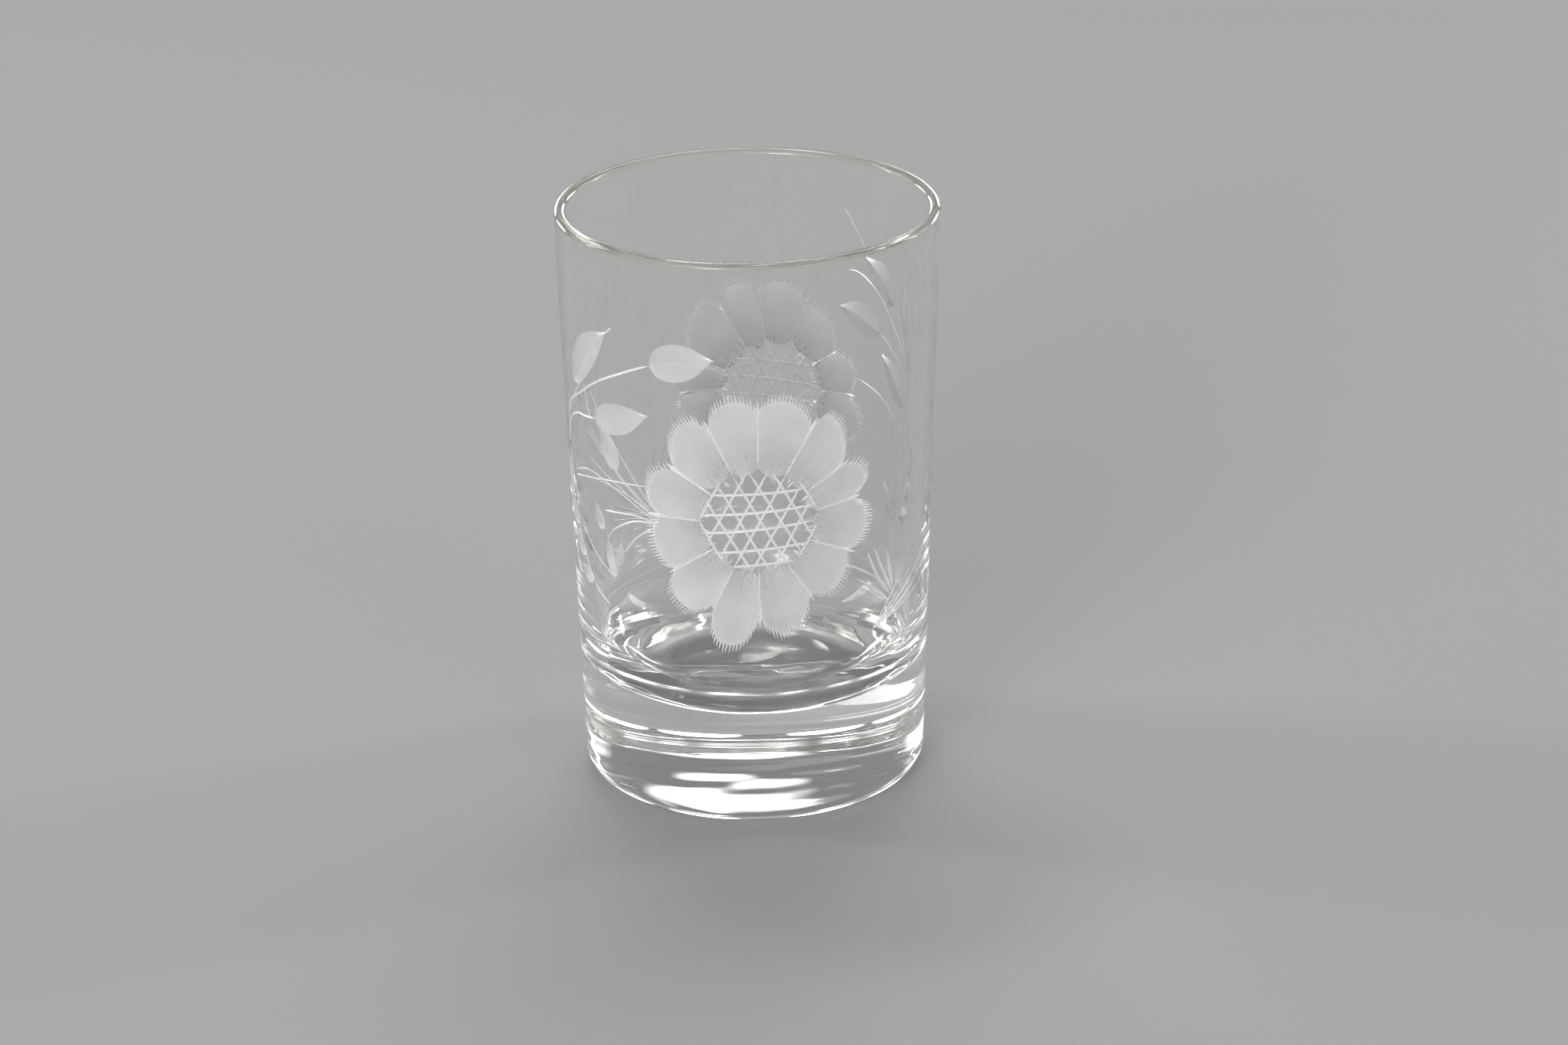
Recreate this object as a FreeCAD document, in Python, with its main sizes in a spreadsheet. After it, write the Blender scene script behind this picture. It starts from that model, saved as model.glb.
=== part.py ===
import FreeCAD, Part
import math
import os
import Sketcher
from FreeCAD import Placement, Rotation, Vector

# A heavy-based shot glass with two wheel-engraved sunflowers on opposite sides, each with
# a spray of leaves. Millimetres, +Z up, origin at the centre of the foot. The first flower
# faces -Y. The whole glass is one gob of pressed and fire-polished glass, so it is one solid.

DIMENSIONS = {
    "overall_height": 70.0,
    "rim_radius": 22.3,
    "base_radius": 20.28,
    "rim_thickness": 1.4,
    "wall_at_floor": 2.2,
    "floor_height": 12.2,
    "bowl_fillet": 9.0,
    "heel_fillet": 2.7,
    "foot_inner_radius": 15.0,
    "punt_depth": 0.6,
    "engraving_depth": 0.25,
    "front_flower_height": 39.0,
    "rear_flower_height": 39.35,
    "disc_radius": 6.2,
}

# The second flower was cut by hand, almost 10 degrees short of exactly opposite the first.
FLOWER_AZIMUTHS = {"front": 0.0, "rear": 170.4}

# Petals of each flower, clockwise from the top: where each one starts, in degrees from
# straight up, and how far its tip lies from the flower's centre.
PETALS = {
    "front": [
        (0, 14.9), (29, 14.8), (59, 13.7), (82, 13.5), (114, 12.9), (148, 14.1),
        (180, 15.8), (207, 14.1), (237, 13.0), (270, 13.4), (302, 14.4), (334, 14.9),
    ],
    "rear": [
        (7.5, 14.0), (32, 14.3), (68, 13.3), (89, 13.2), (119, 13.4), (153, 14.6),
        (184, 15.8), (211, 14.2), (242, 13.0), (273, 12.3), (302, 12.4), (337, 13.7),
    ],
}
PETAL_GAP_DEG = 1.3
PETAL_SHOULDER = 0.84

# Leaves of the two sprays, on the unrolled wall and measured from their flower's centre:
# base of the leaf, its tip, and its full width. Left of the flower is negative.
LEAVES = {
    "front": [
        ((-12.3, 18.1), (-4.5, 19.6), 4.5),
        ((-26.0, 12.7), (-18.1, 21.0), 4.0),
        ((-21.4, 9.5), (-12.5, 12.0), 3.8),
        ((-17.8, 4.1), (-20.6, 9.2), 2.6),
        ((-20.8, -4.2), (-22.0, -0.8), 1.8),
        ((-18.3, -8.0), (-17.4, -4.4), 1.4),
        ((-18.9, -9.6), (-20.0, -4.2), 1.8),
        ((-28.8, -2.4), (-31.4, 2.4), 2.4),
        ((-27.4, -5.6), (-30.8, -2.6), 2.4),
        ((-25.6, -8.8), (-29.2, -6.6), 2.2),
        ((-23.6, -11.4), (-27.0, -10.4), 2.0),
        ((26.4, -12.6), (29.2, -17.0), 2.6),
    ],
    "rear": [
        ((-19.4, 14.1), (-13.2, 18.5), 4.0),
        ((-16.4, 9.7), (-9.0, 11.7), 3.9),
        ((-23.4, 2.5), (-16.6, 7.3), 3.6),
        ((-24.4, 6.3), (-22.0, 18.3), 3.2),
        ((-20.8, -13.3), (-18.4, -8.3), 1.8),
        ((-21.8, -12.7), (-21.6, -5.9), 1.8),
        ((-26.8, -4.7), (-29.8, 0.1), 2.4),
        ((-25.4, -8.1), (-29.0, -5.3), 2.4),
        ((-23.6, -11.3), (-27.2, -9.5), 2.2),
        ((27.6, -13.7), (30.4, -18.1), 2.6),
    ],
}

# The sleeve that limits the cuts stands this far out of the wall. The cutting prisms start
# further out still and reach well into the hollow.
SKIN_ALLOWANCE = 1.0
PRISM_CLEARANCE = 1.5
PRISM_LENGTH = 14.0

# An edge is found by its radius and height within this distance. At least this share of the
# cutters' volume has to come out of the wall.
EDGE_TOLERANCE = 0.05
LEAST_SHARE_CUT = 0.1
SHEET = "dims"


def bind(target, expressions):
    """Tie properties of a document object to the spreadsheet."""
    for name, expression in expressions.items():
        target.setExpression(name, expression)


def make_sheet(doc):
    sheet = doc.addObject("Spreadsheet::Sheet", SHEET)
    for row, (alias, value) in enumerate(DIMENSIONS.items(), start=1):
        sheet.set(f"A{row}", alias)
        sheet.set(f"B{row}", str(value))
        sheet.setAlias(f"B{row}", alias)
    doc.recompute()
    return sheet


def origin_plane(body, role):
    return next(f for f in body.Origin.OriginFeatures if f.Role == role)


def outer_radius(dims, height):
    """Radius of the straight, slightly flared outer wall at a height."""
    flare = (dims.rim_radius - dims.base_radius) / dims.overall_height
    return dims.base_radius + flare * height


def add_named(sketch, name, constraint, expression):
    index = sketch.addConstraint(constraint)
    sketch.renameConstraint(index, name)
    sketch.setExpression(f"Constraints.{name}", expression)


def draw_profile(sketch, dims):
    """Half section of the glass: punted foot, flared wall, rolled rim and flat floor."""
    top = dims.overall_height
    lip = dims.rim_thickness / 2
    foot = dims.foot_inner_radius
    punt = dims.punt_depth
    floor = dims.floor_height
    inner = outer_radius(dims, floor) - dims.wall_at_floor
    dome = (foot ** 2 + punt ** 2) / (2 * punt)

    axis_foot = Vector(0, punt, 0)
    foot_edge = Vector(foot, 0, 0)
    heel = Vector(dims.base_radius, 0, 0)
    lip_centre = Vector(dims.rim_radius - lip, top - lip, 0)
    lip_outside = lip_centre + Vector(lip, 0, 0)
    lip_inside = lip_centre - Vector(lip, 0, 0)
    floor_edge = Vector(inner, floor, 0)
    floor_centre = Vector(0, floor, 0)
    up = Vector(0, 0, 1)

    dome_circle = Part.Circle(Vector(0, punt - dome, 0), up, dome)
    dome_start = math.atan2(dome - punt, foot)
    punt_arc = sketch.addGeometry(Part.ArcOfCircle(dome_circle, dome_start, math.pi / 2))
    foot_line = sketch.addGeometry(Part.LineSegment(foot_edge, heel))
    wall_line = sketch.addGeometry(Part.LineSegment(heel, lip_outside))
    lip_circle = Part.Circle(lip_centre, up, lip)
    lip_arc = sketch.addGeometry(Part.ArcOfCircle(lip_circle, 0, math.pi))
    inner_line = sketch.addGeometry(Part.LineSegment(lip_inside, floor_edge))
    floor_line = sketch.addGeometry(Part.LineSegment(floor_edge, floor_centre))
    axis_line = sketch.addGeometry(Part.LineSegment(floor_centre, axis_foot))

    joints = [
        ("Coincident", punt_arc, 1, foot_line, 1),
        ("Coincident", foot_line, 2, wall_line, 1),
        ("Tangent", wall_line, 2, lip_arc, 1),
        ("Tangent", lip_arc, 2, inner_line, 1),
        ("Coincident", inner_line, 2, floor_line, 1),
        ("Coincident", floor_line, 2, axis_line, 1),
        ("Coincident", axis_line, 2, punt_arc, 2),
        ("Horizontal", foot_line),
        ("Horizontal", floor_line),
        ("PointOnObject", axis_line, 1, -2),
        ("PointOnObject", axis_line, 2, -2),
        ("PointOnObject", punt_arc, 3, -2),
        ("PointOnObject", foot_line, 1, -1),
    ]
    for joint in joints:
        sketch.addConstraint(Sketcher.Constraint(*joint))

    wall_here = (
        f"{SHEET}.base_radius + ({SHEET}.rim_radius - {SHEET}.base_radius)"
        f" * {SHEET}.floor_height / {SHEET}.overall_height - {SHEET}.wall_at_floor"
    )
    sizes = [
        ("punt", ("DistanceY", -1, 1, axis_line, 2, punt), f"{SHEET}.punt_depth"),
        ("foot", ("DistanceX", -1, 1, foot_line, 1, foot), f"{SHEET}.foot_inner_radius"),
        ("base", ("DistanceX", -1, 1, foot_line, 2, heel.x), f"{SHEET}.base_radius"),
        ("lip", ("Radius", lip_arc, lip), f"{SHEET}.rim_thickness / 2"),
        ("lip_x", ("DistanceX", -1, 1, lip_arc, 3, lip_centre.x),
         f"{SHEET}.rim_radius - {SHEET}.rim_thickness / 2"),
        ("lip_y", ("DistanceY", -1, 1, lip_arc, 3, lip_centre.y),
         f"{SHEET}.overall_height - {SHEET}.rim_thickness / 2"),
        ("floor", ("DistanceY", -1, 1, floor_line, 2, floor), f"{SHEET}.floor_height"),
        ("bowl", ("DistanceX", -1, 1, floor_line, 1, inner), wall_here),
    ]
    for name, arguments, expression in sizes:
        add_named(sketch, name, Sketcher.Constraint(*arguments), expression)


def circle_edge(shape, radius, height):
    """Name of the circular edge with this radius at this height."""
    for number, edge in enumerate(shape.Edges, start=1):
        if edge.Degenerated or not isinstance(edge.Curve, Part.Circle):
            continue
        curve = edge.Curve
        radius_off = abs(curve.Radius - radius)
        height_off = abs(curve.Center.z - height)
        if max(radius_off, height_off) < EDGE_TOLERANCE:
            return f"Edge{number}"
    raise RuntimeError(f"no circle of radius {radius} at height {height}")


def add_fillet(doc, body, name, base, edge, alias):
    fillet = body.newObject("PartDesign::Fillet", name)
    fillet.Base = (base, [edge])
    fillet.Radius = getattr(doc.getObject(SHEET), alias)
    fillet.setExpression("Radius", f"{SHEET}.{alias}")
    doc.recompute()
    return fillet


def make_blank(doc, dims):
    """The plain glass before engraving: a revolved section with a rounded bowl and heel."""
    body = doc.addObject("PartDesign::Body", "glass_blank")
    sketch = body.newObject("Sketcher::SketchObject", "glass_section")
    sketch.AttachmentSupport = [(origin_plane(body, "XZ_Plane"), "")]
    sketch.MapMode = "FlatFace"
    doc.recompute()
    draw_profile(sketch, dims)
    doc.recompute()

    turned = body.newObject("PartDesign::Revolution", "turned_glass")
    turned.Profile = sketch
    turned.ReferenceAxis = (sketch, ["V_Axis"])
    turned.Angle = 360
    doc.recompute()

    bowl_radius = outer_radius(dims, dims.floor_height) - dims.wall_at_floor
    bowl_edge = circle_edge(turned.Shape, bowl_radius, dims.floor_height)
    bowl = add_fillet(doc, body, "bowl_round", turned, bowl_edge, "bowl_fillet")
    heel_edge = circle_edge(bowl.Shape, dims.base_radius, 0.0)
    add_fillet(doc, body, "heel_round", bowl, heel_edge, "heel_fillet")
    return body


def make_skin(doc):
    """A thin conical sleeve: what the engraving wheel may take away from the wall."""
    outside = doc.addObject("Part::Cone", "skin_outside")
    inside = doc.addObject("Part::Cone", "skin_inside")
    bind(outside, {
        "Radius1": f"{SHEET}.base_radius + {SKIN_ALLOWANCE}",
        "Radius2": f"{SHEET}.rim_radius + {SKIN_ALLOWANCE}",
        "Height": f"{SHEET}.overall_height",
    })
    bind(inside, {
        "Radius1": f"{SHEET}.base_radius - {SHEET}.engraving_depth",
        "Radius2": f"{SHEET}.rim_radius - {SHEET}.engraving_depth",
        "Height": f"{SHEET}.overall_height",
    })
    skin = doc.addObject("Part::Cut", "engraving_skin")
    skin.Base = outside
    skin.Tool = inside
    doc.recompute()
    return skin


def polar(angle_deg, radius):
    """Point on the unrolled wall, by angle clockwise from straight up."""
    angle = math.radians(angle_deg)
    return radius * math.sin(angle), radius * math.cos(angle)


def petal_curves(flatten, start, end, tip, disc):
    """Closed outline of one petal: a short inner side, two long sides and a round tip."""
    start += PETAL_GAP_DEG
    end -= PETAL_GAP_DEG
    middle = (start + end) / 2
    shoulder = tip * PETAL_SHOULDER
    inner_a = flatten(polar(start, disc))
    inner_b = flatten(polar(end, disc))
    outer_a = flatten(polar(start, shoulder))
    outer_b = flatten(polar(end, shoulder))
    return [
        Part.LineSegment(inner_b, inner_a),
        Part.LineSegment(inner_a, outer_a),
        Part.Arc(outer_a, flatten(polar(middle, tip)), outer_b),
        Part.LineSegment(outer_b, inner_b),
    ]


def leaf_curves(flatten, base, tip, width):
    """Closed outline of a pointed leaf: two arcs between its base and its tip."""
    middle = ((base[0] + tip[0]) / 2, (base[1] + tip[1]) / 2)
    along = (tip[0] - base[0], tip[1] - base[1])
    length = math.hypot(*along)
    side = (-along[1] / length * width / 2, along[0] / length * width / 2)
    ends = flatten(base), flatten(tip)
    left = flatten((middle[0] + side[0], middle[1] + side[1]))
    right = flatten((middle[0] - side[0], middle[1] - side[1]))
    return [Part.Arc(ends[0], left, ends[1]), Part.Arc(ends[1], right, ends[0])]


def height_alias(side):
    return f"{side}_flower_height"


def make_prisms(doc, dims, name, side, azimuth_deg, outlines):
    """Prisms that stand on one plane beside the wall at an azimuth and point inwards.

    The azimuth is measured from -Y towards +X. The outlines are closed lists of curves
    in the plane, across and upwards from the height of that side's flower.
    """
    sketch = doc.addObject("Sketcher::SketchObject", f"{name}_outline")
    for curves in outlines:
        sketch.addGeometry(curves, False)
    turn = Rotation(Vector(0, 0, 1), azimuth_deg)
    stand_up = Rotation(Vector(1, 0, 0), 90)
    standoff = dims.rim_radius + PRISM_CLEARANCE
    foot = turn.multVec(Vector(0, -standoff, getattr(dims, height_alias(side))))
    sketch.Placement = Placement(foot, turn * stand_up)
    sketch.setExpression("Placement.Base.z", f"{SHEET}.{height_alias(side)}")

    prisms = doc.addObject("Part::Extrusion", f"{name}_prisms")
    prisms.Base = sketch
    prisms.DirMode = "Normal"
    prisms.Reversed = True
    prisms.LengthFwd = PRISM_LENGTH
    prisms.Solid = True
    return prisms


def unroller(radius, centre=0.0):
    """Map a point of the unrolled wall onto the plane that touches it at 'centre'."""
    def flatten(point):
        return Vector(radius * math.sin((point[0] - centre) / radius), point[1], 0)
    return flatten


def make_flower(doc, dims, side, azimuth_deg):
    flatten = unroller(outer_radius(dims, getattr(dims, height_alias(side))))
    petals = PETALS[side]
    ends = [start for start, tip in petals[1:]] + [petals[0][0] + 360]
    outlines = []
    for (start, tip), end in zip(petals, ends):
        outlines.append(petal_curves(flatten, start, end, tip, dims.disc_radius))
    return make_prisms(doc, dims, f"{side}_sunflower", side, azimuth_deg, outlines)


def make_spray(doc, dims, side, azimuth_deg):
    """The leaves beside one flower, each cut square to the wall where it lies."""
    radius = outer_radius(dims, getattr(dims, height_alias(side)))
    prisms = []
    for number, (base, tip, width) in enumerate(LEAVES[side], start=1):
        middle = (base[0] + tip[0]) / 2
        outline = leaf_curves(unroller(radius, middle), base, tip, width)
        here = azimuth_deg + math.degrees(middle / radius)
        prisms.append(make_prisms(doc, dims, f"{side}_leaf_{number}", side, here, [outline]))
    return prisms


def make_glass(doc, dims):
    blank = make_blank(doc, dims)
    prisms = []
    for side, azimuth_deg in FLOWER_AZIMUTHS.items():
        prisms.append(make_flower(doc, dims, side, azimuth_deg))
        prisms += make_spray(doc, dims, side, azimuth_deg)
    doc.recompute()

    stencil = doc.addObject("Part::Compound", "engraving_stencil")
    stencil.Links = prisms
    doc.recompute()
    cuts = doc.addObject("Part::Common", "engraving_cuts")
    cuts.Base = stencil
    cuts.Tool = make_skin(doc)
    doc.recompute()

    glass = doc.addObject("Part::Cut", "engraved_glass")
    glass.Base = blank
    glass.Tool = cuts
    glass.Label = "engraved_glass"
    doc.recompute()
    return glass


def check_document(doc, glass):
    """Stop before anything is written if a feature failed or the engraving cut nothing."""
    for thing in doc.Objects:
        if "Invalid" in thing.State or "Error" in thing.State:
            raise RuntimeError(f"{thing.Name} failed: {thing.State}")
    shape = glass.Shape
    if shape.isNull() or not shape.isValid() or len(shape.Solids) != 1:
        raise RuntimeError("the engraved glass is not one valid solid")
    removed = glass.Base.Shape.Volume - shape.Volume
    cutters = doc.getObject("engraving_cuts").Shape.Volume
    if not LEAST_SHARE_CUT * cutters < removed <= cutters:
        raise RuntimeError(f"the engraving removed {removed:.1f} of {cutters:.1f} mm3")
    box = shape.optimalBoundingBox()
    print(f"engraved_glass: {shape.Volume:.0f} mm3, {removed:.1f} mm3 engraved away")
    print(f"box {box.XLength:.2f} x {box.YLength:.2f} x {box.ZLength:.2f} mm, foot at {box.ZMin:.3f}")


def write_parts(parts):
    os.makedirs("parts", exist_ok=True)
    for part in parts:
        part.Shape.exportStep(f"parts/{part.Label}.step")


doc = FreeCAD.newDocument("shot_glass")
dims = make_sheet(doc)
glass = make_glass(doc, dims)
check_document(doc, glass)
write_parts([glass])
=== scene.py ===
"""Looks for the engraved shot glass: one closed glass mesh with its wheel-cut sunflowers.

Lengths are worked out in millimetres and turned into metres when the mesh is made. The outer
wall is unrolled: 'along' runs round the glass from the middle of the front flower (-Y) towards
+X, measured at the flower's height, and 'height' is up from the foot.
"""

import math
import random

import bpy
import numpy as np
from mathutils import Matrix, Vector
from mathutils.geometry import delaunay_2d_cdt


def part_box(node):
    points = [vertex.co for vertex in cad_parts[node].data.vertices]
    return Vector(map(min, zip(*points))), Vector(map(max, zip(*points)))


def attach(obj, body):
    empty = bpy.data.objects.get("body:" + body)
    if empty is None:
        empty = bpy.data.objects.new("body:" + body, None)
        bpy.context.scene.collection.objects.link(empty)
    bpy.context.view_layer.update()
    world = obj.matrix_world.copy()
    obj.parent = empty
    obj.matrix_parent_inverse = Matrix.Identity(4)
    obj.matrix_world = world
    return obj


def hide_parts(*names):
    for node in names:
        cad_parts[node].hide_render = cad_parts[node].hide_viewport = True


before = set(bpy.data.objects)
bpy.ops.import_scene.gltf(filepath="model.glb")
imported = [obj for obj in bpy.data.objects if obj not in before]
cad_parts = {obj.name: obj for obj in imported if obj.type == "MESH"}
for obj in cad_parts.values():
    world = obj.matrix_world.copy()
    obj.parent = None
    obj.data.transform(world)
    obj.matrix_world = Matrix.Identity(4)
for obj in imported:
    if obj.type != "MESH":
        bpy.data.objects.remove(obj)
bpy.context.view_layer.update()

MM = 0.001
CAD_LOW, CAD_HIGH = (np.array(corner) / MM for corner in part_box("engraved_glass"))

# The section of the glass, as in the CAD model.
HEIGHT = float(CAD_HIGH[2] - CAD_LOW[2])
RIM_RADIUS = float(CAD_HIGH[0] - CAD_LOW[0]) / 2
BASE_RADIUS = 20.28
RIM_THICKNESS = 1.4
WALL_AT_FLOOR = 2.2
FLOOR_HEIGHT = 12.2
BOWL_FILLET = 9.0
HEEL_FILLET = 2.7
FOOT_INNER_RADIUS = 15.0
PUNT_DEPTH = 0.6

# Where the flowers' centres are, and a shift of each spray beside its flower.
FLOWER_HEIGHT = 39.0
FLOWER_AZIMUTHS = {"front": 0.0, "rear": math.radians(170.4)}
FLOWER_RISE = {"front": 0.0, "rear": 0.35}
SPRAY_SHIFT = {"front": (0.0, 0.0), "rear": (1.2, -1.1)}

# Petals clockwise from the top: the angle in degrees where each starts, how far the notch there
# reaches from the flower's centre, how far the petal's tip reaches, how its hairs slant, and how
# far its tip leans towards one side, from -1 to 1.
PETALS = {
    "front": [
        (0.2, 13.2, 14.9, 0, -0.2), (29, 12.2, 14.8, -8, -0.55), (59, 11.2, 13.7, -26, 0.0),
        (82, 11.2, 13.5, 2, 0.0), (114, 11.2, 12.9, 4, 0.0), (148, 10.6, 14.1, 0, 0.2),
        (180, 11.2, 15.8, 0, 0.1), (207, 11.0, 14.1, 0, 0.0), (237, 11.4, 13.0, 0, 0.0),
        (270, 11.6, 13.4, 40, 0.0), (302, 11.0, 14.4, 12, 0.4), (334, 12.2, 14.9, 4, 0.1),
    ],
    "rear": [
        (7.5, 12.4, 14.0, 0, 0.0), (32, 11.6, 14.3, -8, -0.6), (68, 11.0, 13.3, -20, 0.0),
        (89, 11.2, 13.2, 2, 0.0), (119, 11.2, 13.4, 4, 0.0), (153, 10.8, 14.6, 0, 0.2),
        (184, 11.2, 15.8, 0, 0.1), (211, 11.0, 14.2, 0, 0.0), (242, 11.2, 13.0, 0, 0.0),
        (273, 10.8, 12.3, 20, 0.0), (302, 9.8, 12.4, 12, 0.35), (337, 12.0, 13.7, 4, 0.0),
    ],
}
DISC_ACROSS = 6.4
DISC_UP = 5.9
PETAL_DEPTH = 0.32
LEAF_DEPTH = 0.4

# Sprays, from each flower's centre: leaves as base, tip, width and sideways bend, with the share
# of their length where they are widest if it isn't FULLEST, and stems as points and a width.
SPRAYS = {
    "front": {
        "leaves": [
            ((-12.3, 18.1), (-4.5, 19.6), 4.5, 0.3, 0.4),
            ((-26.0, 12.7), (-18.1, 21.0), 4.0, 1.3, 0.42),
            ((-21.4, 9.5), (-12.5, 12.0), 3.8, -0.3, 0.4),
            ((-17.8, 4.1), (-20.6, 9.2), 2.6, -0.3, 0.36),
            ((-20.8, -4.2), (-22.0, -0.8), 1.8, 0.2),
            ((-18.3, -8.0), (-17.4, -4.4), 1.4, -0.2),
            ((-18.9, -9.6), (-20.0, -4.2), 1.8, 0.2),
            ((26.4, -12.6), (29.2, -17.0), 2.6, 0.2),
            ((-28.8, -2.4), (-31.4, 2.4), 2.4, 0.4),
            ((-27.4, -5.6), (-30.8, -2.6), 2.4, 0.4),
            ((-25.6, -8.8), (-29.2, -6.6), 2.2, 0.4),
            ((-23.6, -11.4), (-27.0, -10.4), 2.0, 0.4),
        ],
        "stems": [
            ([(-19.2, 20.0), (-18.1, 21.0), (-17.5, 21.5)], 0.18),
            ([(-20.0, -13.5), (-23.6, -11.4), (-27.4, -5.6), (-28.8, -2.4), (-29.2, 4.0)], 0.36),
            ([(-18.9, -9.6), (-23.5, -7.0), (-27.5, -1.5), (-29.2, 4.0)], 0.22),
            ([(-29.2, 4.0), (-28.6, 8.8), (-24.2, 11.9), (-20.2, 14.4), (-15.1, 16.9),
              (-12.3, 18.1)], 0.26),
            ([(-29.2, 4.0), (-28.5, 7.5), (-26.5, 10.5), (-24.0, 13.4)], 0.19),
            ([(-29.2, 4.0), (-28.0, 7.4), (-25.5, 8.9), (-23.7, 9.1), (-21.2, 9.5)], 0.26),
            ([(-23.4, 13.6), (-22.6, 10.1), (-22.2, 9.2)], 0.16),
            ([(-21.9, 13.1), (-20.6, 10.8), (-12.2, 0.1)], 0.13),
            ([(-23.4, 8.0), (-19.4, 5.0), (-12.9, 0.1)], 0.14),
            ([(-22.6, 8.4), (-18.6, 4.7), (-12.7, 0.3)], 0.13),
            ([(-23.0, 4.5), (-15.8, 1.4), (-12.2, -0.6)], 0.14),
            ([(-27.0, 0.8), (-19.7, 2.4), (-13.2, 3.2)], 0.16),
            ([(-27.5, 1.2), (-23.2, 2.6), (-18.2, 1.8), (-12.3, -0.8)], 0.16),
            ([(-27.5, 0.5), (-22.0, 1.9), (-16.5, 1.6), (-12.6, 0.0)], 0.13),
            ([(-12.3, -1.2), (-15.1, -0.8), (-20.3, -1.5)], 0.20),
            ([(-12.3, -1.2), (-15.4, -1.6), (-18.9, -3.6), (-19.7, -5.0)], 0.20),
            ([(-12.3, -1.6), (-15.0, -3.5), (-17.2, -6.0)], 0.20),
        ],
    },
    "rear": {
        "leaves": [
            ((-20.6, 15.2), (-14.4, 19.6), 4.0, 0.6),
            ((-17.6, 10.8), (-10.2, 12.8), 3.9, 0.4),
            ((-24.6, 3.6), (-17.8, 8.4), 3.6, 0.5),
            ((-25.6, 7.4), (-23.2, 19.4), 3.2, 0.4),
            ((-22.0, -12.2), (-19.6, -7.2), 1.8, 0.3),
            ((-23.0, -11.6), (-22.8, -4.8), 1.8, 0.2),
            ((26.4, -12.6), (29.2, -17.0), 2.6, 0.2),
            ((-28.0, -3.6), (-31.0, 1.2), 2.4, 0.4),
            ((-26.6, -7.0), (-30.2, -4.2), 2.4, 0.4),
            ((-24.8, -10.2), (-28.4, -8.4), 2.2, 0.4),
        ],
        "stems": [
            ([(-21.0, -14.0), (-24.8, -10.2), (-26.6, -7.0), (-28.0, -3.6), (-27.5, 0.0)], 0.36),
            ([(-22.0, -12.2), (-24.5, -8.5), (-27.0, -3.0), (-27.5, 0.0)], 0.22),
            ([(-27.5, 0.0), (-26.4, 4.5), (-24.2, 9.5), (-20.0, 13.2), (-15.5, 16.6),
              (-12.2, 17.4), (-9.6, 15.4)], 0.16),
            ([(-27.4, 0.0), (-26.2, 5.5), (-24.0, 10.5), (-22.6, 13.2), (-20.6, 15.2)], 0.19),
            ([(-14.4, 19.6), (-12.8, 22.0), (-10.6, 25.2)], 0.24),
            ([(-27.5, 0.0), (-26.8, 4.0), (-25.0, 7.2), (-21.0, 9.3), (-17.6, 10.8)], 0.22),
            ([(-27.5, -1.0), (-26.5, 1.5), (-24.6, 3.6)], 0.19),
            ([(-27.5, 0.0), (-26.9, 4.0), (-25.6, 7.4)], 0.17),
            ([(-13.9, 4.0), (-17.0, 3.3), (-20.0, 2.2), (-24.0, 0.4), (-27.3, -1.6)], 0.22),
            ([(-13.9, 4.0), (-13.5, 3.0), (-13.0, 1.8)], 0.17),
        ],
    },
}

# A tuft of grass to the right of each flower: curved blades as root, bend and tip, and straight
# hairs that share a lower root.
TUFT_BLADES = [
    ((17.5, -12.2), (15.4, -9.6), (13.5, -5.6)),
    ((17.7, -11.8), (16.2, -9.0), (14.6, -5.4)),
    ((17.9, -11.4), (17.3, -8.8), (16.8, -6.4)),
    ((17.2, -12.8), (14.2, -10.4), (11.9, -8.6)),
]
TUFT_ROOT = (14.6, -15.8)
TUFT_HAIRS = [
    (25.4, -9.4), (22.8, -9.2), (28.8, -9.4), (27.6, -12.0), (24.6, -11.8), (20.8, -8.6),
    (28.4, -7.2),
]

# A petal: how sharply its tip turns down to the notches, how much less it does on the long side
# of a leaning tip, how its inner end is rounded and scattered, and how flat its floor is.
TIP_POWER = 2.7
TIP_POWER_LOST_TO_LEAN = 2.0
ROOT_ROUNDING = 1.1
ROOT_SCATTER = (-0.3, 0.7)
SCOOP_POWER_ACROSS = 2.4
SCOOP_POWER_ALONG = 3
PETAL_SPACING = 0.42

# A leaf: a low power rounds its base, and the rise draws out its tip.
FULLEST = 0.38
LEAF_POWER_AT_BASE = 0.6
LEAF_POWER_RISE = 0.9
LEAF_STEPS = 16

# Frost, from 0 to 1: its strength at the base, its rise to the tip, and its change to one side.
# Frost also whitens the colour, so the change to one side is partly painted shade: it draws one
# half of each petal and leaf lighter than the other, as if lit from that side.
PETAL_FROST, PETAL_FROST_RISE, PETAL_FROST_AND_PAINTED_SHADE_SIDE = 0.25, 1.2, 0.15
LEAF_FROST, LEAF_FROST_RISE, LEAF_FROST_AND_PAINTED_SHADE_SIDE = 0.85, 0.2, 0.2
LEAST_LEAF_FROST = 0.15
MARKS_APART = 20

# Hairs on the petals' tips: the arc of a tip over its chord, how much of it they cover, and the
# share of each hair that lies on the petal.
HAIR_PITCH = 0.48
HAIR_LENGTH = 1.6
TIP_ARC = 1.15
HAIR_COVER = 0.97
HAIR_INSIDE = 0.35

# Lines over the open centre: rows across it, and two slanting families. A line is followed over
# LATTICE_SPAN, and runs a little way past the centre's edge.
LATTICE_ROWS = [3.5, 1.2, -0.9, -3.3, -5.3]
LATTICE_TILT = 4.0
LATTICE_SLANTS = [-60.0, 61.0]
LATTICE_LINES = range(-3, 4)
LATTICE_PITCH = 2.05
LATTICE_WIDTH = 0.3
LATTICE_SPAN = np.arange(-8, 8, 0.1)
LATTICE_OVERRUN = 0.5
HATCHES_PER_PETAL = 3

LINE_DEPTH = 0.07
GROOVE_DEPTH = 0.14
CURVE_SPACING = 0.8


# ---- section of the glass

def line_from_corner(corner, centre, radius, side):
    """Angle from upright of the line through a corner that touches a circle on one side."""
    across, up = centre[0] - corner[0], centre[1] - corner[1]
    lean = math.atan2(across, up)
    return lean + side * math.asin(radius / math.hypot(across, up))


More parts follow.
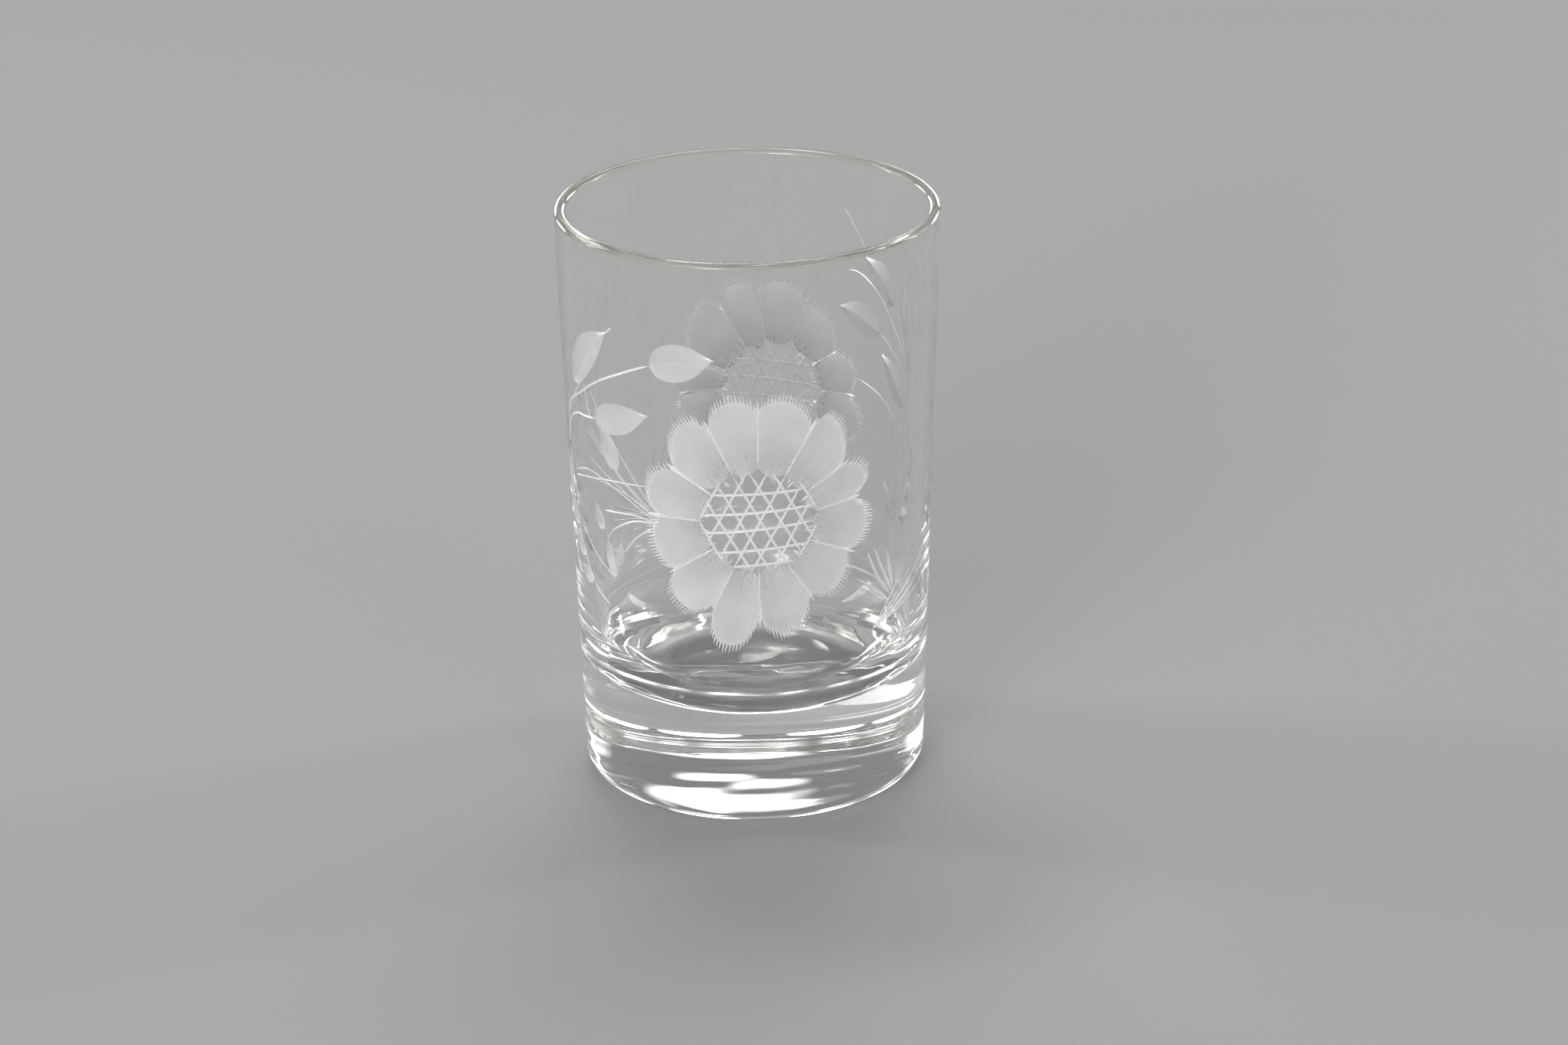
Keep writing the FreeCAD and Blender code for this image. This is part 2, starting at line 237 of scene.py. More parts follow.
LIP = RIM_THICKNESS / 2
LIP_STEPS = 18
PUNT_STEPS = 14
FOOT_STEPS = 3
HEEL_STEPS = 14
BOWL_STEPS = 26
INSIDE_STEPS = 16
FLOOR_STEPS = 7
LIP_CENTRE = (RIM_RADIUS - LIP, HEIGHT - LIP)
FLARE = line_from_corner((BASE_RADIUS, 0.0), LIP_CENTRE, LIP, 1)
FLOOR_CORNER = (
    BASE_RADIUS + (RIM_RADIUS - BASE_RADIUS) * FLOOR_HEIGHT / HEIGHT - WALL_AT_FLOOR,
    FLOOR_HEIGHT,
)
INNER_FLARE = line_from_corner(FLOOR_CORNER, LIP_CENTRE, LIP, -1)
WALL_TOP = LIP_CENTRE[1] - LIP * math.sin(FLARE)
WALL_FOOT = HEEL_FILLET * (1 - math.sin(FLARE))


def outer_radius(height):
    return BASE_RADIUS + height * math.tan(FLARE)


ROUND = outer_radius(FLOWER_HEIGHT)


def arc(centre, radius, start, end, steps):
    """Points on an arc of the section, each with its normal, from a start angle to an end."""
    points = []
    for step in range(steps + 1):
        angle = start + (end - start) * step / steps
        normal = (math.cos(angle), math.sin(angle))
        points.append((centre[0] + radius * normal[0], centre[1] + radius * normal[1], normal))
    return points


def straight(start, end, normal, steps):
    """Points between two points of the section, without the ends."""
    return [(start[0] + (end[0] - start[0]) * (step / steps),
             start[1] + (end[1] - start[1]) * (step / steps), normal)
            for step in range(1, steps)]


def foot_section():
    """From the middle of the punt, out over the foot and up the heel to the wall."""
    dome = (FOOT_INNER_RADIUS ** 2 + PUNT_DEPTH ** 2) / (2 * PUNT_DEPTH)
    edge = math.asin(FOOT_INNER_RADIUS / dome)
    punt = []
    for step in range(PUNT_STEPS + 1):
        angle = edge * step / PUNT_STEPS
        punt.append((dome * math.sin(angle), PUNT_DEPTH - dome * (1 - math.cos(angle)),
                     (-math.sin(angle), -math.cos(angle))))
    heel_x = BASE_RADIUS + HEEL_FILLET * math.tan(FLARE) - HEEL_FILLET / math.cos(FLARE)
    down = (0.0, -1.0)
    flat = straight((FOOT_INNER_RADIUS, 0.0), (heel_x, 0.0), down, FOOT_STEPS)
    heel = arc((heel_x, HEEL_FILLET), HEEL_FILLET, -math.pi / 2, -FLARE, HEEL_STEPS)
    return punt + flat + heel


def mouth_section():
    """From the top of the wall over the lip, down the inside and in over the bowl's floor."""
    lip = arc(LIP_CENTRE, LIP, -FLARE, math.pi - INNER_FLARE, LIP_STEPS)
    into = (-math.cos(INNER_FLARE), math.sin(INNER_FLARE))
    bowl_x = (FLOOR_CORNER[0] + BOWL_FILLET * math.tan(INNER_FLARE)
              - BOWL_FILLET / math.cos(INNER_FLARE))
    bowl = [(x, z, (-out, -up)) for x, z, (out, up) in arc(
        (bowl_x, FLOOR_HEIGHT + BOWL_FILLET), BOWL_FILLET, -INNER_FLARE, -math.pi / 2, BOWL_STEPS)]
    wall = straight(lip[-1][:2], bowl[0][:2], into, INSIDE_STEPS)
    floor = straight(bowl[-1][:2], (0.0, FLOOR_HEIGHT), (0.0, 1.0), FLOOR_STEPS)
    return lip + wall + bowl + floor + [(0.0, FLOOR_HEIGHT, (0.0, 1.0))]


# ---- engraving on the unrolled wall

def bearing(across, up):
    """Angle clockwise from straight up, in degrees from 0 to 360."""
    return np.degrees(np.arctan2(across, up)) % 360


def disc_edge(degrees):
    """How far a flower's open centre reaches at an angle."""
    angle = np.radians(degrees)
    return 1 / np.hypot(np.sin(angle) / DISC_ACROSS, np.cos(angle) / DISC_UP)


def heading(degrees):
    """Unit vector at an angle clockwise from straight up."""
    angle = math.radians(degrees)
    return np.array([math.sin(angle), math.cos(angle)])


class Flower:
    """Scooped petals round an open centre."""

    def __init__(self, name, rng):
        starts, self.notches, self.tips, self.slants, self.peaks = map(list, zip(*PETALS[name]))
        ends = starts[1:] + [starts[0] + 360]
        self.notches.append(self.notches[0])
        self.starts = starts
        self.middles = [(start + end) / 2 for start, end in zip(starts, ends)]
        self.halves = [(end - start) / 2 for start, end in zip(starts, ends)]
        self.inward = [rng.uniform(*ROOT_SCATTER) for _start in starts]

    def reach(self, number, lean):
        """How far a petal reaches from the centre; lean runs from -1 to 1 across the petal."""
        lean = np.asarray(lean)
        tip, peak = self.tips[number], self.peaks[number]
        before = lean < peak
        notch = np.where(before, self.notches[number], self.notches[number + 1])
        away = np.abs(lean - peak) / np.where(before, 1 + peak, 1 - peak)
        long_side = before == (peak > 0)
        power = np.where(long_side, TIP_POWER - TIP_POWER_LOST_TO_LEAN * abs(peak), TIP_POWER)
        return tip - (tip - notch) * away ** power

    def root(self, number, lean):
        """Where a petal begins beside the open centre: its inner end is rounded."""
        edge = disc_edge(self.middles[number] + lean * self.halves[number])
        return edge - self.inward[number] + ROOT_ROUNDING * np.abs(lean) ** 3

    def place(self, number, lean, reach):
        """The point of a petal at a lean and a distance from the centre."""
        return reach * heading(self.middles[number] + lean * self.halves[number])

    def fields(self, across, up):
        """Depth, frost and distance across the wheel's marks at points from the centre."""
        angle = bearing(across, up)
        distance = np.hypot(across, up)
        depth = np.zeros_like(distance)
        frost = np.zeros_like(distance)
        marks = np.zeros_like(distance)
        for number, (middle, half) in enumerate(zip(self.middles, self.halves)):
            lean = ((angle - middle + 180) % 360 - 180) / half
            root = self.root(number, lean)
            part = (distance - root) / (self.reach(number, lean) - root)
            within = np.abs(lean) <= 1.0001
            inside = within & (part > 0) & (part < 1)
            bowl = ((1 - np.abs(lean) ** SCOOP_POWER_ACROSS)
                    * (1 - np.abs(2 * part - 1) ** SCOOP_POWER_ALONG))
            depth = np.where(inside, PETAL_DEPTH * bowl, depth)
            # Frost reaches a hair past the outline, so that the outline's own points have it.
            near = within & (part > -0.01) & (part < 1.01)
            # Frost changes to one side of each petal. Because it whitens the colour too, this is
            # partly painted shade: one half is drawn lighter.
            strength = PETAL_FROST + part * PETAL_FROST_RISE - PETAL_FROST_AND_PAINTED_SHADE_SIDE * lean
            frost = np.where(near, np.clip(strength, 0, 1), frost)
            spread = lean * math.radians(half) * (self.tips[number] + distance) / 2
            marks = np.where(near, MARKS_APART * number + spread, marks)
        return depth, frost, marks

    def outline(self, number):
        """Points round one petal: its tip, one side, its inner end and the other side."""
        span = math.radians(2 * self.halves[number])
        tip_steps = max(8, round(span * self.tips[number] / PETAL_SPACING))
        root_steps = max(6, round(span * DISC_ACROSS / PETAL_SPACING))
        side_steps = max(3, round((self.tips[number] - DISC_ACROSS) / PETAL_SPACING))
        points = []
        for step in range(tip_steps + 1):
            lean = -1 + 2 * step / tip_steps
            points.append(self.place(number, lean, self.reach(number, lean)))
        for lean, order in ((1.0, 1), (-1.0, -1)):
            root, reach = self.root(number, lean), self.reach(number, lean)
            side = [self.place(number, lean, reach + (root - reach) * step / side_steps)
                    for step in range(1, side_steps)]
            points += side[::order]
            if order > 0:
                for step in range(root_steps + 1):
                    inner_lean = 1 - 2 * step / root_steps
                    points.append(self.place(number, inner_lean, self.root(number, inner_lean)))
        return points


class Leaf:
    """A pointed leaf with a sharp midrib, cut as two facets that meet along it."""

    def __init__(self, shift, base, tip, width, bend, fullest=FULLEST):
        self.base = np.array(base, float) + shift
        self.tip = np.array(tip, float) + shift
        self.width = width
        along = self.tip - self.base
        self.length = float(np.hypot(*along))
        self.side = np.array([-along[1], along[0]]) / self.length
        self.middle = (self.base + self.tip) / 2 + self.side * bend
        self.bend = bend
        self.swell = math.log(0.5) / math.log(fullest)

    def rib(self, part):
        """Points on the midrib; part runs from 0 at the base to 1 at the tip."""
        part = np.asarray(part, float)[..., None]
        return ((1 - part) ** 2 * self.base + 2 * part * (1 - part) * self.middle
                + part ** 2 * self.tip)

    def half_width(self, part):
        """Width to one side of the midrib, from the base (part 0) to the tip (part 1)."""
        part = np.clip(part, 0, 1)
        belly = np.clip(np.sin(np.pi * part ** self.swell), 0, 1)
        return self.width / 2 * belly ** (LEAF_POWER_AT_BASE + LEAF_POWER_RISE * part ** 3)

    def outline(self):
        """Points round the leaf, and the points of its midrib."""
        parts = np.linspace(0, 1, LEAF_STEPS + 1)
        ribs = self.rib(parts)
        widths = self.half_width(parts)[:, None]
        left = ribs + self.side * widths
        right = ribs - self.side * widths
        return np.concatenate([left, right[-2:0:-1]]), ribs

    def fields(self, across, up):
        """Depth, frost and distance across the wheel's marks: deepest along the midrib."""
        points = np.stack([across, up], axis=-1) - self.base
        along = (self.tip - self.base) / self.length
        part = points @ along / self.length
        from_rib = points @ self.side - 2 * part * (1 - part) * self.bend
        away = np.abs(from_rib)
        half = self.half_width(part)
        inside = (part > 0) & (part < 1) & (away < half)
        safe = np.where(half > 1e-6, half, 1.0)
        shape = np.where(inside, 1 - away / safe, 0.0)
        depth = LEAF_DEPTH * shape * np.where(inside, (half / (self.width / 2)) ** 0.5, 0.0)
        over = from_rib / safe
        near = (part > -0.02) & (part < 1.02) & (np.abs(over) < 1.05)
        # Frost changes across the midrib. Because it whitens the colour too, one facet is drawn
        # lighter than the other: partly painted shade.
        strength = LEAF_FROST - LEAF_FROST_AND_PAINTED_SHADE_SIDE * over + LEAF_FROST_RISE * part
        frost = np.where(near, np.clip(strength, LEAST_LEAF_FROST, 1), 0.0)
        return depth, frost, np.where(near, points @ self.side + part, 0.0)


def smooth_curve(points):
    """Evenly divided smooth line through points."""
    ends = [2 * np.array(points[0]) - points[1], *map(np.array, points),
            2 * np.array(points[-1]) - points[-2]]
    line = []
    for before, start, end, after in zip(ends, ends[1:], ends[2:], ends[3:]):
        steps = max(2, round(float(np.hypot(*(end - start))) / CURVE_SPACING))
        for step in range(steps):
            t = step / steps
            line.append(0.5 * (2 * start + (end - before) * t
                               + (2 * before - 5 * start + 4 * end - after) * t ** 2
                               + (3 * start - before - 3 * end + after) * t ** 3))
    line.append(ends[-2])
    return np.array(line)


class Stroke:
    """A line cut by the edge of the wheel: a groove that tapers out at both ends.

    The taper is the share of its length over which it widens and over which it narrows.
    """

    def __init__(self, line, width, depth, taper):
        self.line = np.array(line, float)
        gaps = np.hypot(*np.diff(self.line, axis=0).T)
        run = np.concatenate([[0.0], np.cumsum(gaps)])
        part = run / run[-1]
        rise = np.clip(part / taper[0], 0, 1)
        fall = np.clip((1 - part) / taper[1], 0, 1)
        self.half = width / 2 * np.sqrt(rise * fall)
        self.deep = depth * self.half / (width / 2)

    def outline(self):
        """Points round the groove, from one pointed end to the other and back."""
        way = np.gradient(self.line, axis=0)
        way /= np.hypot(*way.T)[:, None]
        side = np.stack([-way[:, 1], way[:, 0]], axis=1)
        left = self.line + side * self.half[:, None]
        right = self.line - side * self.half[:, None]
        return np.concatenate([self.line[:1], left[1:-1], self.line[-1:], right[-2:0:-1]])

    def depth(self, points):
        """How deep the groove is at points: deepest along its middle."""
        best = np.zeros(len(points))
        for start, end, half_a, half_b, deep_a, deep_b in zip(
                self.line, self.line[1:], self.half, self.half[1:], self.deep, self.deep[1:]):
            way = end - start
            part = np.clip((points - start) @ way / (way @ way), 0, 1)
            away = np.hypot(*(points - start - part[:, None] * way).T)
            half = half_a + (half_b - half_a) * part
            deep = deep_a + (deep_b - deep_a) * part
            cut = deep * (1 - away / np.maximum(half, 1e-6))
            best = np.maximum(best, cut)
        return best


def straight_stroke(start, end, width, depth, taper, divisions):
    """A groove between two points."""
    parts = np.linspace(0, 1, divisions + 1)[:, None]
    line = np.array(start) * (1 - parts) + np.array(end) * parts
    return Stroke(line, width, depth, taper)


def petal_grooves(flower, rng):
    """The bright groove between each petal and the next, from the centre out to the notch."""
    for start, notch in zip(flower.starts, flower.notches):
        way = heading(start)
        inner = disc_edge(start) - rng.uniform(-0.3, 0.4)
        outer = notch + rng.uniform(1.2, 1.9)
        half_way = outer - rng.uniform(3.2, 3.9)
        yield straight_stroke(way * inner, way * outer, width=0.22, depth=0.08,
                              taper=(0.2, 0.3), divisions=6)
        yield straight_stroke(way * half_way, way * outer, width=rng.uniform(0.40, 0.50),
                              depth=GROOVE_DEPTH, taper=(0.5, 0.35), divisions=5)


def petal_fringe(flower, rng):
    """Short slanting hairs that run out over the tips of the petals."""
    for number, tip in enumerate(flower.tips):
        half = flower.halves[number]
        count = round(math.radians(2 * half) * tip * TIP_ARC / HAIR_PITCH)
        for step in range(count):
            lean = -HAIR_COVER + 2 * HAIR_COVER * (step + 0.5) / count
            here = flower.place(number, lean, flower.reach(number, lean))
            way = heading(flower.middles[number] + flower.slants[number] + rng.gauss(0, 2.5))
            length = HAIR_LENGTH * rng.uniform(0.8, 1.15)
            start = here - way * length * HAIR_INSIDE
            end = here + way * length * (1 - HAIR_INSIDE)
            yield straight_stroke(start, end, width=rng.uniform(0.17, 0.23), depth=0.05,
                                  taper=(0.35, 0.65), divisions=3)


def disc_lattice(rng):
    """Three families of parallel lines that cross in stars over the flower's centre."""
    families = [(LATTICE_TILT, LATTICE_ROWS)]
    for slant in LATTICE_SLANTS:
        start = rng.uniform(-0.3, 0.3)
        families.append((slant, [start + row * LATTICE_PITCH for row in LATTICE_LINES]))
    for tilt, rows in families:
        for row in rows:
            angle = math.radians(tilt + rng.uniform(-1.6, 1.6))
            way = np.array([math.cos(angle), math.sin(angle)])
            middle = np.array([-way[1], way[0]]) * (row + rng.uniform(-0.1, 0.1))
            inside = [point for point in middle + LATTICE_SPAN[:, None] * way
                      if np.hypot(*point) < disc_edge(bearing(*point)) + LATTICE_OVERRUN]
            if len(inside) > 12:
                yield straight_stroke(inside[0], inside[-1], LATTICE_WIDTH, LINE_DEPTH,
                                      taper=(0.05, 0.05), divisions=8)


def disc_hatching(flower, rng):
    """Small hairs where the petals' inner ends meet the open centre."""
    for start in flower.starts:
        for _hair in range(HATCHES_PER_PETAL):
            degrees = start + rng.uniform(4, 22)
            edge = disc_edge(degrees)
            way = heading(degrees)
            tail = np.array([rng.uniform(-0.25, 0.25), rng.uniform(-0.25, 0.25)])
            yield straight_stroke(way * (edge + 0.2), way * (edge - 0.9) + tail,
                                  width=0.16, depth=0.06, taper=(0.2, 0.7), divisions=3)


def spray_strokes(name):
    """The stems of a spray, and the tuft of grass beside its flower."""
    for points, width in SPRAYS[name]["stems"]:
        line = smooth_curve(points) + np.array(SPRAY_SHIFT[name])
        yield Stroke(line, width, LINE_DEPTH, taper=(0.06, 0.06))
    for blade in TUFT_BLADES:
        yield Stroke(smooth_curve(blade), width=0.55, depth=GROOVE_DEPTH, taper=(0.2, 0.7))
    for tip in TUFT_HAIRS:
        yield straight_stroke(TUFT_ROOT, tip, width=0.2, depth=LINE_DEPTH, taper=(0.1, 0.4),
                              divisions=8)


def merged(layers):
    """The deepest cut, the strongest frost and its marks where several layers may overlap."""
    depth = frost = marks = 0.0
    for layer_depth, layer_frost, layer_marks in layers:
        marks = np.where(layer_frost > frost, layer_marks, marks)
        depth = np.maximum(depth, layer_depth)
        frost = np.maximum(frost, layer_frost)
    return depth, frost, marks


class Engraving:
    """Everything cut into the wall beside and over one flower."""

    def __init__(self, name, seed):
        rng = random.Random(seed)
        self.origin = np.array([FLOWER_AZIMUTHS[name] * ROUND, FLOWER_HEIGHT + FLOWER_RISE[name]])
        self.flower = Flower(name, rng)
        self.leaves = [Leaf(SPRAY_SHIFT[name], *leaf) for leaf in SPRAYS[name]["leaves"]]
        self.strokes = [*petal_grooves(self.flower, rng), *petal_fringe(self.flower, rng),
                        *disc_lattice(rng), *disc_hatching(self.flower, rng),
                        *spray_strokes(name)]

    def scoops(self, points):
        """Depth, frost and wheel marks of petals and leaves at points of the unrolled wall."""
        across, up = (points - self.origin).T
        return merged(cut.fields(across, up) for cut in (self.flower, *self.leaves))

    def stroke_depth(self, points):
        """Depth that the cut lines add at points of the unrolled wall."""
        local = points - self.origin
        order = np.argsort(local[:, 0])
        across = local[order, 0]
        depth = np.zeros(len(points))
        for stroke in self.strokes:
            low = stroke.line.min(axis=0) - stroke.half.max()
            high = stroke.line.max(axis=0) + stroke.half.max()
            first, last = np.searchsorted(across, [low[0], high[0]])
            near = order[first:last]
            near = near[(local[near, 1] >= low[1]) & (local[near, 1] <= high[1])]
            if len(near):
                depth[near] = np.maximum(depth[near], stroke.depth(local[near]))
        return depth

    def constraints(self):
        """Lines that the wall's triangles must follow: (points, closed) pairs."""
        for number in range(len(self.flower.tips)):
            yield np.array(self.flower.outline(number)) + self.origin, True
        for leaf in self.leaves:
            outline, rib = leaf.outline()
            yield outline + self.origin, True
            yield rib + self.origin, False
        for stroke in self.strokes:
            yield stroke.outline() + self.origin, True
            yield stroke.line + self.origin, False


# ---- the glass mesh

# The unrolled wall is slit at the seam, between the front leaves and the rear tuft.
SEGMENTS = 240
SEAM_AZIMUTH = math.radians(-96.5)
PUNT_WAVES = 0.09
PUNT_WAVE_SPAN = 11.0
BOWL_WAVES = 0.05
BOWL_WAVE_SPAN = 13.0
BOWL_WAVES_TOP = FLOOR_HEIGHT + BOWL_FILLET + 6
BOWL_WAVES_FADE = 10
WAVE_LENGTHS = (1.0, 0.7, 0.45, 0.32)
AROUND = 2 * math.pi * ROUND
SEAM = SEAM_AZIMUTH * ROUND
CLEAR, FROST, CUT, LIP_EDGE = range(4)

# The wall's triangles: a coarse, slightly scattered grid all over, and a fine one inside the
# petals and leaves, which lie within this box round each flower (left, right, low, high).
WALL_ROWS = 48
COARSE_PITCH = 1.25
COARSE_SCATTER = 0.1
FINE_PITCH = 0.6
FINE_FROM_DEPTH = 0.02
ENGRAVED_BOX = (-31, 31, -18, 22)
MERGE_WITHIN = 1e-4
SAME_PLACE = 1e-3
LEAST_CUT = 1e-4
PROBE_INWARD = 0.12
PROBE_STEP = 0.01


def wall_triangles(engravings):
    """Triangulate the unrolled wall along every engraved line."""
    rng = random.Random(7)
    points, edges = [], []
    step = AROUND / SEGMENTS
    for number in range(SEGMENTS + 1):
        points.append((SEAM + step * number, WALL_FOOT))
        points.append((SEAM + step * number, WALL_TOP))
    heights = [WALL_FOOT + (WALL_TOP - WALL_FOOT) * row / WALL_ROWS
               for row in range(1, WALL_ROWS)]
    for height in heights:
        points.append((SEAM, height))
        points.append((SEAM + AROUND, height))
    columns = round(AROUND / COARSE_PITCH)
    for row, height in enumerate(heights, 1):
        for column in range(columns):
            along = SEAM + AROUND * (column + 0.25 + 0.5 * (row % 2)) / columns
            points.append((along + rng.uniform(-COARSE_SCATTER, COARSE_SCATTER),
                           height + rng.uniform(-COARSE_SCATTER, COARSE_SCATTER)))
    left, right, low, high = ENGRAVED_BOX
    for engraving in engravings:
        grid = np.mgrid[left:right:FINE_PITCH, low:high:FINE_PITCH]
        grid = grid.reshape(2, -1).T + engraving.origin
        inside = engraving.scoops(grid)[0] > FINE_FROM_DEPTH
        points += grid[inside].tolist()
        for line, closed in engraving.constraints():
            first = len(points)
            points += line.tolist()
            edges += [(first + i, first + i + 1) for i in range(len(line) - 1)]
            if closed:
                edges.append((first + len(line) - 1, first))
    found = delaunay_2d_cdt(list(map(Vector, points)), edges, [], 0, MERGE_WITHIN)
    return np.array(found[0]), np.array([face for face in found[2] if len(face) == 3])


def scoops_at(engravings, points):
    """Depth, frost and wheel marks of every petal and leaf at points of the unrolled wall."""
    return merged(engraving.scoops(points) for engraving in engravings)


def strokes_at(engravings, points):
    """Depth of every cut line at points of the unrolled wall."""
    return np.max([engraving.stroke_depth(points) for engraving in engravings], axis=0)


def wall_normals(flat):
    """Outward normals of the plain flared wall at points of the unrolled wall."""
    angle = flat[:, 0] / ROUND
    return np.stack([np.cos(FLARE) * np.sin(angle), -np.cos(FLARE) * np.cos(angle),
                     np.full(len(flat), -np.sin(FLARE))], axis=1)


def wall_positions(flat, depth):
    """Points of the unrolled wall rolled up again and sunk in by a depth."""
    angle = flat[:, 0] / ROUND
    radius = outer_radius(flat[:, 1])
    on_wall = np.stack([radius * np.sin(angle), -radius * np.cos(angle), flat[:, 1]], axis=1)
    return on_wall - wall_normals(flat) * depth[:, None]


def scooped_normals(engravings, corners, centres):
    """Normals inside petals and leaves, from the slope of the cut just inside each corner."""
    probe = corners + (centres - corners) * PROBE_INWARD
    slope = []
    for shift in np.eye(2) * PROBE_STEP:
        ahead = scoops_at(engravings, probe + shift)[0]
        behind = scoops_at(engravings, probe - shift)[0]
        slope.append((ahead - behind) / (2 * PROBE_STEP))
    angle = corners[:, 0] / ROUND
    radius = outer_radius(corners[:, 1])
    sideways = np.stack([np.cos(angle), np.sin(angle), np.zeros(len(angle))], axis=1)
    upwards = np.stack([np.sin(FLARE) * np.sin(angle), -np.sin(FLARE) * np.cos(angle),
                        np.full(len(angle), np.cos(FLARE))], axis=1)
    normal = (wall_normals(corners) + sideways * (slope[0] * ROUND / radius)[:, None]
              + upwards * slope[1][:, None])
    return normal / np.linalg.norm(normal, axis=1)[:, None]


def mould_waves(across, back, span, seed):
    """Gentle unevenness that pressed glass keeps: slow waves that cross at many angles."""
    rng = random.Random(seed)
    total = 0.0
    for length in WAVE_LENGTHS:
        angle, phase = rng.uniform(0, math.pi), rng.uniform(0, 2 * math.pi)
        along = across * math.cos(angle) + back * math.sin(angle)
        total += length * math.sin(2 * math.pi * along / (span * length) + phase)
    return total / 2


def ring_points(section, lift):
    """Vertices of a turned stretch of the glass: a ring for each point, or one at the axis.

    Each point moves along its own normal by lift(radius, height, across, back).
    """
    rings, vertices = [], []
    for radius, height, normal in section:
        count = 1 if radius < 1e-6 else SEGMENTS
        rings.append(list(range(len(vertices), len(vertices) + count)))
        for number in range(count):
            angle = SEAM_AZIMUTH + 2 * math.pi * number / SEGMENTS
            way = (math.sin(angle), -math.cos(angle))
            raised = lift(radius, height, radius * way[0], radius * way[1])
            out = radius + normal[0] * raised
            vertices.append((out * way[0], out * way[1], height + normal[1] * raised))
    return rings, vertices


def punt_lift(radius, _height, across, back):
    """The punt's skin is wavy inside the foot ring and true on it."""
    fade = max(0.0, 1 - (radius / FOOT_INNER_RADIUS) ** 6)
    return PUNT_WAVES * fade * mould_waves(across, back, PUNT_WAVE_SPAN, 3)


def bowl_lift(_radius, height, across, back):
    """The bowl is wavy near its floor and true towards the lip."""
    fade = min(1.0, max(0.0, (BOWL_WAVES_TOP - height) / BOWL_WAVES_FADE))
    return BOWL_WAVES * fade * mould_waves(across, back, BOWL_WAVE_SPAN, 5)


def smooth_normals(vertices, faces):
    """Normals of the turned faces averaged at each vertex."""
    placed = np.array(vertices)
    total = np.zeros_like(placed)
    for face in faces:
        corners = placed[list(face)]
        total[list(face)] += np.cross(corners[2] - corners[0], corners[-1] - corners[1])
    return total / np.maximum(np.linalg.norm(total, axis=1), 1e-12)[:, None]


def ring_faces(rings):
    """Faces between each ring and the next, in triangles where one is a point on the axis."""
    faces = []
    for lower, upper in zip(rings, rings[1:]):
        for number in range(SEGMENTS):
            after = (number + 1) % SEGMENTS
            if len(lower) == 1:
                faces.append((lower[0], upper[after], upper[number]))
            elif len(upper) == 1:
                faces.append((lower[number], lower[after], upper[0]))
            else:
                faces.append((lower[number], lower[after], upper[after], upper[number]))
    return faces


def add_object(name, data):
    """A new object in the scene, with this mesh, light or camera."""
    thing = bpy.data.objects.new(name, data)
    bpy.context.scene.collection.objects.link(thing)
    return thing


def turned_glass():
    """The foot and the mouth: vertices, faces, normals at their corners, and both sets of rings."""
    foot_rings, foot_points = ring_points(foot_section(), punt_lift)
    mouth_rings, mouth_points = ring_points(mouth_section(), bowl_lift)
    vertices = foot_points + mouth_points
    shift = len(foot_points)
    mouth_rings = [[shift + index for index in ring] for ring in mouth_rings]
    faces = ring_faces(foot_rings) + ring_faces(mouth_rings)
    normals = smooth_normals(vertices, faces)
    for ring in (foot_rings[-1], mouth_rings[0]):
        for number, index in enumerate(ring):
            angle = SEAM_AZIMUTH + 2 * math.pi * number / SEGMENTS
            normals[index] = (math.cos(FLARE) * math.sin(angle),
                              -math.cos(FLARE) * math.cos(angle), -math.sin(FLARE))
    corner_normals = [normals[index] for face in faces for index in face]
    return vertices, faces, corner_normals, foot_rings, mouth_rings


def add_wall_vertices(vertices, flat, positions, foot_edge, mouth_edge):
    """Add the wall's vertices: which vertex each point of the wall is, and which were added.

    The wall's edges share the vertices of the heel's last ring and the lip's first ring, and its
    two upright sides share each other's.
    """
    step = AROUND / SEGMENTS
    where, added = [], []
    seam_rows = {}
    for index, (along, height) in enumerate(flat):
        number = round((along - SEAM) / step) % SEGMENTS
        row = round(height, 3)
        on_seam = min(abs(along - SEAM), abs(along - SEAM - AROUND)) < SAME_PLACE
        if abs(height - WALL_FOOT) < SAME_PLACE:
            where.append(foot_edge[number])
        elif abs(height - WALL_TOP) < SAME_PLACE:
            where.append(mouth_edge[number])
        elif on_seam and row in seam_rows:
            where.append(seam_rows[row])
        else:
            where.append(len(vertices))
            added.append(index)
            vertices.append(tuple(positions[index]))
            if on_seam:
                seam_rows[row] = where[-1]
    return np.array(where), added


def wall_kinds_and_normals(engravings, flat, triangles):
    """Each wall triangle's material, and its corners' normals outside the cut lines."""
    corners = flat[triangles]
    centres = corners.mean(axis=1)
    in_scoop = scoops_at(engravings, centres)[0] > LEAST_CUT
    in_stroke = strokes_at(engravings, centres) > LEAST_CUT
    kinds = np.where(in_stroke, CUT, np.where(in_scoop, FROST, CLEAR))
    corners = corners.reshape(-1, 2)
    scooped = scooped_normals(engravings, corners, np.repeat(centres, 3, axis=0))
    frosted = np.repeat(kinds == FROST, 3)[:, None]
    return kinds, np.where(frosted, scooped, wall_normals(corners)).reshape(-1, 3, 3)


